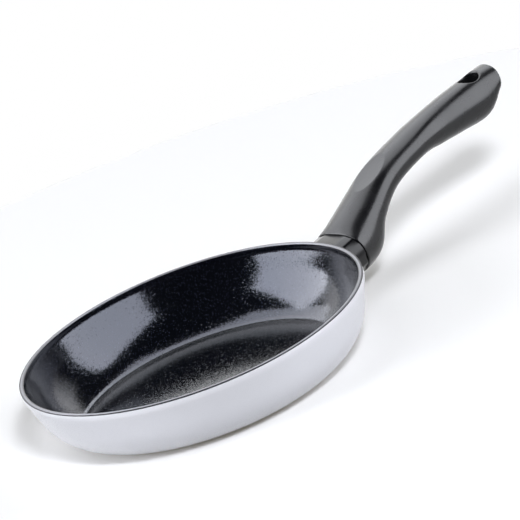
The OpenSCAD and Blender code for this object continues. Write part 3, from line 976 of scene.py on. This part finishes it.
def dress(tree, shader, tone, rough, relief=None, span=(0.0, 1.0)):
    """Gives the shader a tone between two colours, a roughness between two values and a relief of
    some depth. The last item of each is the pattern that drives it; the roughness takes up a span
    of its pattern."""
    mix = add_node(tree, "ShaderNodeMix", {"data_type": "RGBA", 6: tone[0], 7: tone[1]},
                   {"Factor": tone[2]})
    gloss = add_node(tree, "ShaderNodeMapRange", {
        "From Min": span[0], "From Max": span[1], "To Min": rough[0], "To Max": rough[1]},
        {"Value": rough[2]})
    tree.links.new(mix.outputs[2], shader.inputs["Base Color"])
    tree.links.new(gloss.outputs["Result"], shader.inputs["Roughness"])
    if relief:
        bump = add_node(tree, "ShaderNodeBump", {"Strength": 1.0, "Distance": relief[0]},
                        {"Height": relief[1]})
        tree.links.new(bump.outputs["Normal"], shader.inputs["Normal"])


def speckled_ceramic(finishes):
    """Sprayed and baked ceramic non-stick: a near black ground under a clear top coat, light mineral
    specks a fraction of a millimetre wide, and flakes that each tilt a little on their own, so that
    a reflection is even inside and breaks into glints at its edge."""
    material, tree, shader, coords = new_material("Sprayed ceramic non-stick", {
        "IOR": 1.45, "Specular Tint": (0.74, 0.8, 1.0, 1.0), "Coat Weight": 0.4, "Coat IOR": 1.45,
        "Coat Roughness": 0.08})
    # Specks about 0.3 mm wide at 0.8 mm spacing
    cells = add_node(tree, "ShaderNodeTexVoronoi", {"Scale": 1 / (0.8 * MM)}, {"Vector": coords})
    small = add_node(tree, "ShaderNodeMapRange", {"From Min": 0.30, "From Max": 0.16},
                     {"Value": cells.outputs["Distance"]})
    pick = add_node(tree, "ShaderNodeSeparateColor", links={"Color": cells.outputs["Color"]})
    chosen = add_node(tree, "ShaderNodeMapRange", {"From Min": 0.45, "From Max": 0.95},
                      {"Value": pick.outputs["Red"]})
    amount = add_node(tree, "ShaderNodeMath", {"operation": "MULTIPLY"},
                      {0: small.outputs["Result"], 1: chosen.outputs["Result"]})
    dress(tree, shader, (rgba(finishes.lining), rgba(finishes.speck), amount.outputs["Value"]),
          (0.08, 0.14, pick.outputs["Green"]))
    # Flakes: most lie within two degrees of flat, a few tilt by up to twenty. Real ones are about
    # 0.1 mm wide, and they are drawn at 0.45 mm so that they show.
    flakes = add_node(tree, "ShaderNodeTexVoronoi", {"Scale": 1 / (0.45 * MM)}, {"Vector": coords})
    lean = add_node(tree, "ShaderNodeVectorMath", {"operation": "SUBTRACT", 1: (0.5, 0.5, 0.5)},
                    {0: flakes.outputs["Color"]})
    steep = add_node(tree, "ShaderNodeVectorMath", {"operation": "LENGTH"}, {0: lean.outputs["Vector"]})
    few = add_node(tree, "ShaderNodeMath", {"operation": "POWER", 1: 5.0}, {0: steep.outputs["Value"]})
    tail = add_node(tree, "ShaderNodeMath", {"operation": "MULTIPLY_ADD", 1: 0.8, 2: 0.03},
                    {0: few.outputs["Value"]})
    tilt = add_node(tree, "ShaderNodeVectorMath", {"operation": "SCALE"},
                    {0: lean.outputs["Vector"], "Scale": tail.outputs["Value"]})
    flat = add_node(tree, "ShaderNodeNewGeometry").outputs["Normal"]
    tilted = add_node(tree, "ShaderNodeVectorMath", {"operation": "ADD"},
                      {0: flat, 1: tilt.outputs["Vector"]})
    normal = add_node(tree, "ShaderNodeVectorMath", {"operation": "NORMALIZE"},
                      {0: tilted.outputs["Vector"]})
    for socket in ("Normal", "Coat Normal"):
        tree.links.new(normal.outputs["Vector"], shader.inputs[socket])
    return material


def white_enamel(finishes):
    """Vitreous enamel fired on the aluminium: a smooth semi-gloss white glaze whose slow waviness
    bends the soft reflections a little, with a trace of cloudiness in its tone."""
    material, tree, shader, coords = new_material("Fired white enamel", {
        "IOR": 1.5, "Coat Weight": 0.15, "Coat Roughness": 0.08})
    # Slow waviness of the fired glaze, about 14 mm from crest to crest and a few microns deep
    wave = add_node(tree, "ShaderNodeTexNoise", {"Scale": 1 / (14 * MM), "Detail": 1.0},
                    {"Vector": coords})
    # Fine variation of the gloss, about 0.4 mm wide, and a faint slow change of the tone
    pores = add_node(tree, "ShaderNodeTexNoise", {"Scale": 1 / (0.4 * MM), "Detail": 1.0},
                     {"Vector": coords})
    dress(tree, shader, (rgba(finishes.enamel), rgba(finishes.enamel, 0.99), wave.outputs["Fac"]),
          (0.26, 0.3, pores.outputs["Fac"]), (0.01 * MM, wave.outputs["Fac"]))
    return material


def turned_metal(name, tint, rough, line_mm, depth_mm):
    """Metal faced on a lathe: fine concentric lines that drag the highlight into a soft fan, with a
    slow change of tone from ring to ring."""
    material, tree, shader, coords = new_material(name, {"Metallic": 1.0})
    flat = add_node(tree, "ShaderNodeVectorMath", {"operation": "MULTIPLY", 1: (1, 1, 0)}, {0: coords})
    reach = add_node(tree, "ShaderNodeVectorMath", {"operation": "LENGTH"}, {0: flat.outputs["Vector"]})
    lines = add_node(tree, "ShaderNodeTexNoise", {"noise_dimensions": "1D", "Scale": 1 / (line_mm * MM),
                                                  "Detail": 3.0}, {"W": reach.outputs["Value"]})
    scuffs = add_node(tree, "ShaderNodeTexNoise", {"Scale": 1 / (7 * MM), "Detail": 4.0},
                      {"Vector": coords})
    both = add_node(tree, "ShaderNodeMath", {"operation": "MULTIPLY_ADD", 1: 0.5},
                    {0: lines.outputs["Fac"], 2: scuffs.outputs["Fac"]})
    bright = add_node(tree, "ShaderNodeMapRange", {"From Max": 1.5, "To Min": 0.0, "To Max": 1.0},
                      {"Value": both.outputs["Value"]})
    dress(tree, shader, (rgba(tint, 0.86), rgba(tint), bright.outputs["Result"]),
          (rough + 0.1, rough - 0.06, both.outputs["Value"]),
          (depth_mm * MM, lines.outputs["Fac"]), span=(0.0, 1.5))
    return material


def moulded_black(name, tint, rough, grain_mm, depth_mm, ior):
    """Black moulding or baked paint: satin, with a fine even grain that softens every highlight and
    faint slow changes of gloss where it was handled or cooled."""
    material, tree, shader, coords = new_material(name, {"IOR": ior})
    grain = add_node(tree, "ShaderNodeTexNoise", {"Scale": 1 / (grain_mm * MM), "Detail": 2.0,
                                                  "Roughness": 0.6}, {"Vector": coords})
    flow = add_node(tree, "ShaderNodeTexNoise", {"Scale": 1 / (18 * MM), "Detail": 3.0},
                    {"Vector": coords})
    dress(tree, shader, (rgba(tint), rgba(tint, 1.5), grain.outputs["Fac"]),
          (rough - 0.04, rough + 0.05, flow.outputs["Fac"]),
          (depth_mm * MM, grain.outputs["Fac"]), span=(0.25, 0.75))
    return material


def plated_steel(name, tint, rough):
    """Zinc-plated or blued fastener steel: a dull metal with a fine crystalline mottling."""
    material, tree, shader, coords = new_material(name, {"Metallic": 1.0})
    # Crystals are drawn 0.7 mm across, coarser than real ones, so that they show
    mottle = add_node(tree, "ShaderNodeTexVoronoi", {"Scale": 1 / (0.7 * MM)}, {"Vector": coords})
    pick = add_node(tree, "ShaderNodeSeparateColor", links={"Color": mottle.outputs["Color"]})
    dress(tree, shader, (rgba(tint, 0.8), rgba(tint), pick.outputs["Red"]),
          (rough - 0.06, rough + 0.08, pick.outputs["Green"]))
    return material


# Operators, one for each piece or group of like pieces and one for the stage

class PAN_OT_body(Operator):
    """Build the pressed aluminium body and the turned steel disc in its base"""
    bl_idname = "frying_pan.body"
    bl_label = "Body and Base Disc"

    def execute(self, context):
        parts = context.scene.frying_pan
        # Pressed and trimmed aluminium, polished on the lip with lathe lines about 0.3 mm apart
        rim = turned_metal("Trimmed aluminium", parts.finishes.aluminium, 0.42, 0.3, 0.004)
        finish(build_body(parts.pan), rim, ["pan_body"])
        # Stainless disc pressed into the base and faced, with lathe lines about 0.5 mm apart
        disc = turned_metal("Faced stainless steel", parts.finishes.base_steel, 0.3, 0.5, 0.01)
        finish(build_disc(parts.pan), disc, ["base_disc"])
        return {"FINISHED"}


class PAN_OT_coats(Operator):
    """Build the non-stick lining, the white enamel and the dark line under the rim"""
    bl_idname = "frying_pan.coats"
    bl_label = "Coats"

    def execute(self, context):
        parts = context.scene.frying_pan
        finish(build_lining(parts.pan), speckled_ceramic(parts.finishes),
               ["nonstick_lining"], sharp=24)
        finish(build_enamel(parts.pan, parts.mount), white_enamel(parts.finishes),
               ["outer_enamel"])
        # The thin ring under the bare rim is given a near-black, satin finish, which draws the dark
        # line there
        line = moulded_black("Near black rim line", parts.finishes.rim_line_tone, 0.35, 0.2, 0.004, 1.38)
        finish(build_line(parts.pan), line, ["rim_line"])
        return {"FINISHED"}


class PAN_OT_guard(Operator):
    """Build the flame guard between the wall and the handle"""
    bl_idname = "frying_pan.guard"
    bl_label = "Flame Guard"

    def execute(self, context):
        parts = context.scene.frying_pan
        # Sheet metal sleeve with baked black paint, semi-gloss with a faint orange peel of 0.8 mm
        paint = moulded_black("Baked black paint", parts.finishes.guard, 0.17, 0.8, 0.002, 1.32)
        finish(build_guard(parts.pan, parts.mount, parts.handle), paint,
               ["flame_guard"], sharp=35)
        return {"FINISHED"}


class PAN_OT_handle(Operator):
    """Build the moulded handle with its thumb rest and hanging hole"""
    bl_idname = "frying_pan.handle"
    bl_label = "Handle"

    def execute(self, context):
        parts = context.scene.frying_pan
        # Compression-moulded phenolic resin, satin from the mould's fine 0.35 mm texture
        resin = moulded_black("Moulded phenolic", parts.finishes.handle, 0.26, 0.35, 0.004, 1.46)
        finish(build_grip(parts.pan, parts.mount, parts.handle), resin,
               ["handle_grip"], sharp=40)
        return {"FINISHED"}


class PAN_OT_fasteners(Operator):
    """Build the screw and its spring washer, and finish the welded boss"""
    bl_idname = "frying_pan.fasteners"
    bl_label = "Fasteners"

    def execute(self, context):
        parts = context.scene.frying_pan
        # Cold-headed and zinc plated, dull with a crystalline bloom
        zinc = plated_steel("Zinc plated steel", parts.finishes.fastener, 0.32)
        finish(build_screw(parts.pan, parts.mount), zinc, ["handle_screw"])
        # Wound spring wire, blued dark by its tempering
        spring = plated_steel("Blued spring steel", [0.45 * c for c in parts.finishes.fastener], 0.4)
        finish(build_washer(parts.pan, parts.mount), spring, ["spring_washer"])
        # Turned from bar and left bare, a little dulled
        turned = plated_steel("Machined steel", [0.8 * c for c in parts.finishes.fastener], 0.38)
        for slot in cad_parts["weld_boss"].material_slots:
            slot.material = turned
        return {"FINISHED"}


class PAN_OT_stage(Operator):
    """Set up the pale floor, the soft lamps, the world and the camera"""
    bl_idname = "frying_pan.stage"
    bl_label = "Stage"

    def execute(self, context):
        parts = context.scene.frying_pan
        build_floor(parts.studio)
        build_lamps(parts.studio)
        build_world(context.scene, parts.studio)
        build_camera(context.scene, parts)
        context.scene.view_settings.view_transform = "Standard"
        return {"FINISHED"}


def direction(at, rise):
    """Unit vector at an angle round the pan and an angle above the horizon."""
    return Vector((math.cos(rise) * math.cos(at), math.cos(rise) * math.sin(at), math.sin(rise)))


def seen_directly(tree):
    """A factor of 1 for rays from the camera and for those that metal or glass passes on."""
    path = add_node(tree, "ShaderNodeLightPath")
    sharp = add_node(tree, "ShaderNodeMath", {"operation": "MAXIMUM"},
                     {0: path.outputs["Is Camera Ray"], 1: path.outputs["Is Glossy Ray"]})
    return add_node(tree, "ShaderNodeMath", {"operation": "MAXIMUM"},
                    {0: sharp.outputs["Value"], 1: path.outputs["Is Transmission Ray"]})


def build_floor(studio):
    """Round floor. Seen directly it is pale and glows a little, so that it reaches white and keeps
    the object's shadow; the light that it throws back on the pan is that of grey paper."""
    bm = bmesh.new()
    bmesh.ops.create_circle(bm, cap_ends=True, segments=FLOOR_STEPS, radius=studio.floor_r)
    bmesh.ops.translate(bm, verts=bm.verts, vec=(0, 0, -FLOOR_DROP))
    floor = new_object(bm, "floor")
    material = bpy.data.materials.new("Matt white paper")
    material.use_nodes = True
    tree = material.node_tree
    tree.nodes.clear()
    seen = seen_directly(tree)
    pale = add_node(tree, "ShaderNodeMapRange", {"To Min": 0.55, "To Max": 0.92},
                    {"Value": seen.outputs["Value"]})
    paper = add_node(tree, "ShaderNodeBsdfDiffuse", links={"Color": pale.outputs["Result"]})
    strength = add_node(tree, "ShaderNodeMath", {"operation": "MULTIPLY", 1: studio.floor_glow},
                        {0: seen.outputs["Value"]})
    glow = add_node(tree, "ShaderNodeEmission", {"Color": GLOW_COLOUR},
                    {"Strength": strength.outputs["Value"]})
    both = add_node(tree, "ShaderNodeAddShader", links={0: paper.outputs["BSDF"],
                                                        1: glow.outputs["Emission"]})
    add_node(tree, "ShaderNodeOutputMaterial", links={"Surface": both.outputs["Shader"]})
    floor.data.materials.append(material)


def add_lamp(studio, name, place, turned, size, energy, glossy):
    """A soft rectangular lamp that only glossy or only matt surfaces show."""
    light = bpy.data.lights.new(name, "AREA")
    light.shape = "RECTANGLE"
    light.size, light.size_y = (studio.lamp_distance * v for v in size)
    light.color = LAMP_COLOUR
    light.energy = energy * studio.lamp_distance ** 2
    lamp = bpy.data.objects.new(name, light)
    lamp.matrix_world = Matrix.Translation(place * studio.lamp_distance) @ turned
    lamp.visible_camera = False
    lamp.visible_glossy = glossy
    lamp.visible_diffuse = not glossy
    bpy.context.scene.collection.objects.link(lamp)


def build_lamps(studio):
    """Three large soft panels that the glossy surfaces show, on the left, on the right and overhead
    behind, and four keys much farther off that give the matt light and the shadows, so that the floor
    is lit evenly. A panel has the direction, distance and height of its middle, where its back looks
    and its roll, and its size; a key has its direction, height and size, and looks at the pan."""
    for name, place, facing, size, radiance in (
            ("left_lamp", (154, 1.0, 0.51), (116, 10, 14), (1.40, 0.88), studio.left_lamp),
            ("right_lamp", (-82, 1.0, 0.57), (-38, 6, -13.5), (1.64, 0.99), studio.right_lamp),
            ("back_lamp", (65.3, 0.521, 0.900), (61.4, 41.8, 1), (1.15, 1.04), studio.back_lamp)):
        at = math.radians(place[0])
        middle = Vector((place[1] * math.cos(at), place[1] * math.sin(at), place[2]))
        a, e, roll = (math.radians(v) for v in facing)
        back = direction(a, e)
        along = Vector((-math.sin(a), math.cos(a), 0))
        turned = Matrix((along, back.cross(along), back)).transposed().to_4x4()
        add_lamp(studio, name, middle, turned @ Matrix.Rotation(roll, 4, "Z"), size,
                 4.0 * size[0] * size[1] * radiance, True)
    far = studio.key_distance
    for name, a, e, size, share in (
            ("left_key", 154, 19, 0.55, studio.left_key),
            ("front_key", -111, 41, 0.18, studio.front_key),
            ("top_key", 144, 63, 0.8, studio.top_key),
            ("right_fill", -40, 17, 0.5, studio.right_fill)):
        a, e = math.radians(a), math.radians(e)
        back = direction(a, e)
        # The energy is the one that gives the floor its share of white
        add_lamp(studio, name, far * back, back.to_track_quat("Z", "Y").to_matrix().to_4x4(),
                 (far * size, far * size), 4.0 * math.pi * far ** 2 * share / math.sin(e), False)


def build_world(scene, studio):
    """White where it is seen directly. Gloss finds the white sweep low behind the pan and a dim room
    elsewhere; the matt light is left to the keys."""
    world = bpy.data.worlds.new("studio")
    scene.world = world
    world.cycles_visibility.diffuse = False
    world.use_nodes = True
    tree = world.node_tree
    tree.nodes.clear()
    way = add_node(tree, "ShaderNodeTexCoord").outputs["Generated"]
    behind = direction(studio.view_turn + math.pi, 0)
    facing = add_node(tree, "ShaderNodeVectorMath", {"operation": "DOT_PRODUCT", 1: behind}, {0: way})
    height = add_node(tree, "ShaderNodeSeparateXYZ", links={"Vector": way})
    across = add_node(tree, "ShaderNodeMapRange", {"From Min": 0.3, "From Max": 0.6},
                      {"Value": facing.outputs["Value"]})
    below = add_node(tree, "ShaderNodeMapRange", {"From Min": 0.52, "From Max": 0.45},
                     {"Value": height.outputs["Z"]})
    sweep = add_node(tree, "ShaderNodeMath", {"operation": "MULTIPLY"},
                     {0: across.outputs["Result"], 1: below.outputs["Result"]})
    level = add_node(tree, "ShaderNodeMapRange", {"To Min": studio.room, "To Max": studio.sweep},
                     {"Value": sweep.outputs["Value"]})
    path = add_node(tree, "ShaderNodeLightPath")
    white = add_node(tree, "ShaderNodeBackground", {"Color": (1, 1, 1, 1), "Strength": 1.0})
    room = add_node(tree, "ShaderNodeBackground", {"Color": (1, 1, 1, 1)},
                    {"Strength": level.outputs["Result"]})
    mixed = add_node(tree, "ShaderNodeMixShader", links={
        "Fac": path.outputs["Is Camera Ray"], 1: room.outputs["Background"],
        2: white.outputs["Background"]})
    add_node(tree, "ShaderNodeOutputWorld", links={"Surface": mixed.outputs["Shader"]})


def build_camera(scene, parts):
    """Camera at the photograph's viewing angle, far off with a long lens."""
    studio, pan = parts.studio, parts.pan
    back = direction(studio.view_turn, studio.view_rise)
    place = Vector((0, 0, pan.height)) + back * studio.view_distance
    upright = Vector((0, 0, 1))
    right = (-back).cross(upright).normalized()
    up = right.cross(-back)
    ahead = (-back + right * math.tan(studio.aim_side) + up * math.tan(studio.aim_up)).normalized()
    right = ahead.cross(upright).normalized()
    up = right.cross(ahead)
    c, s = math.cos(studio.roll), math.sin(studio.roll)
    turned = Matrix((c * right + s * up, c * up - s * right, -ahead)).transposed().to_4x4()
    lens = bpy.data.cameras.new("view")
    lens.sensor_width = 36.0
    lens.lens = studio.focal
    lens.clip_start, lens.clip_end = 0.1, 30.0
    camera = bpy.data.objects.new("view", lens)
    camera.matrix_world = Matrix.Translation(place) @ turned
    scene.collection.objects.link(camera)
    scene.camera = camera


class PAN_PT_sidebar(Panel):
    """Sidebar with the sizes, the colours and the operators"""
    bl_idname = "PAN_PT_sidebar"
    bl_label = "Frying Pan"
    bl_space_type = "VIEW_3D"
    bl_region_type = "UI"
    bl_category = "Frying Pan"

    def draw(self, context):
        parts = context.scene.frying_pan
        for operator in PIECE_OPERATORS + (PAN_OT_stage,):
            self.layout.operator(operator.bl_idname)
        for title in ("pan", "mount", "handle", "finishes", "studio"):
            box = self.layout.box()
            box.label(text=title.capitalize())
            group = getattr(parts, title)
            for name in group.__annotations__:
                box.prop(group, name)


PIECE_OPERATORS = (PAN_OT_body, PAN_OT_coats, PAN_OT_guard, PAN_OT_handle, PAN_OT_fasteners)
CLASSES = (PanSizes, MountSizes, HandleSizes, Finishes, StudioSizes, FryingPan) + PIECE_OPERATORS + (
    PAN_OT_stage, PAN_PT_sidebar)


def register():
    for cls in CLASSES:
        bpy.utils.register_class(cls)
    bpy.types.Scene.frying_pan = PointerProperty(type=FryingPan)


def unregister():
    del bpy.types.Scene.frying_pan
    for cls in reversed(CLASSES):
        bpy.utils.unregister_class(cls)


def main():
    """Registers the classes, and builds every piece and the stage."""
    register()
    bpy.ops.frying_pan.body()
    bpy.ops.frying_pan.coats()
    bpy.ops.frying_pan.guard()
    bpy.ops.frying_pan.handle()
    bpy.ops.frying_pan.fasteners()
    bpy.ops.frying_pan.stage()


if __name__ == "__main__":
    main()
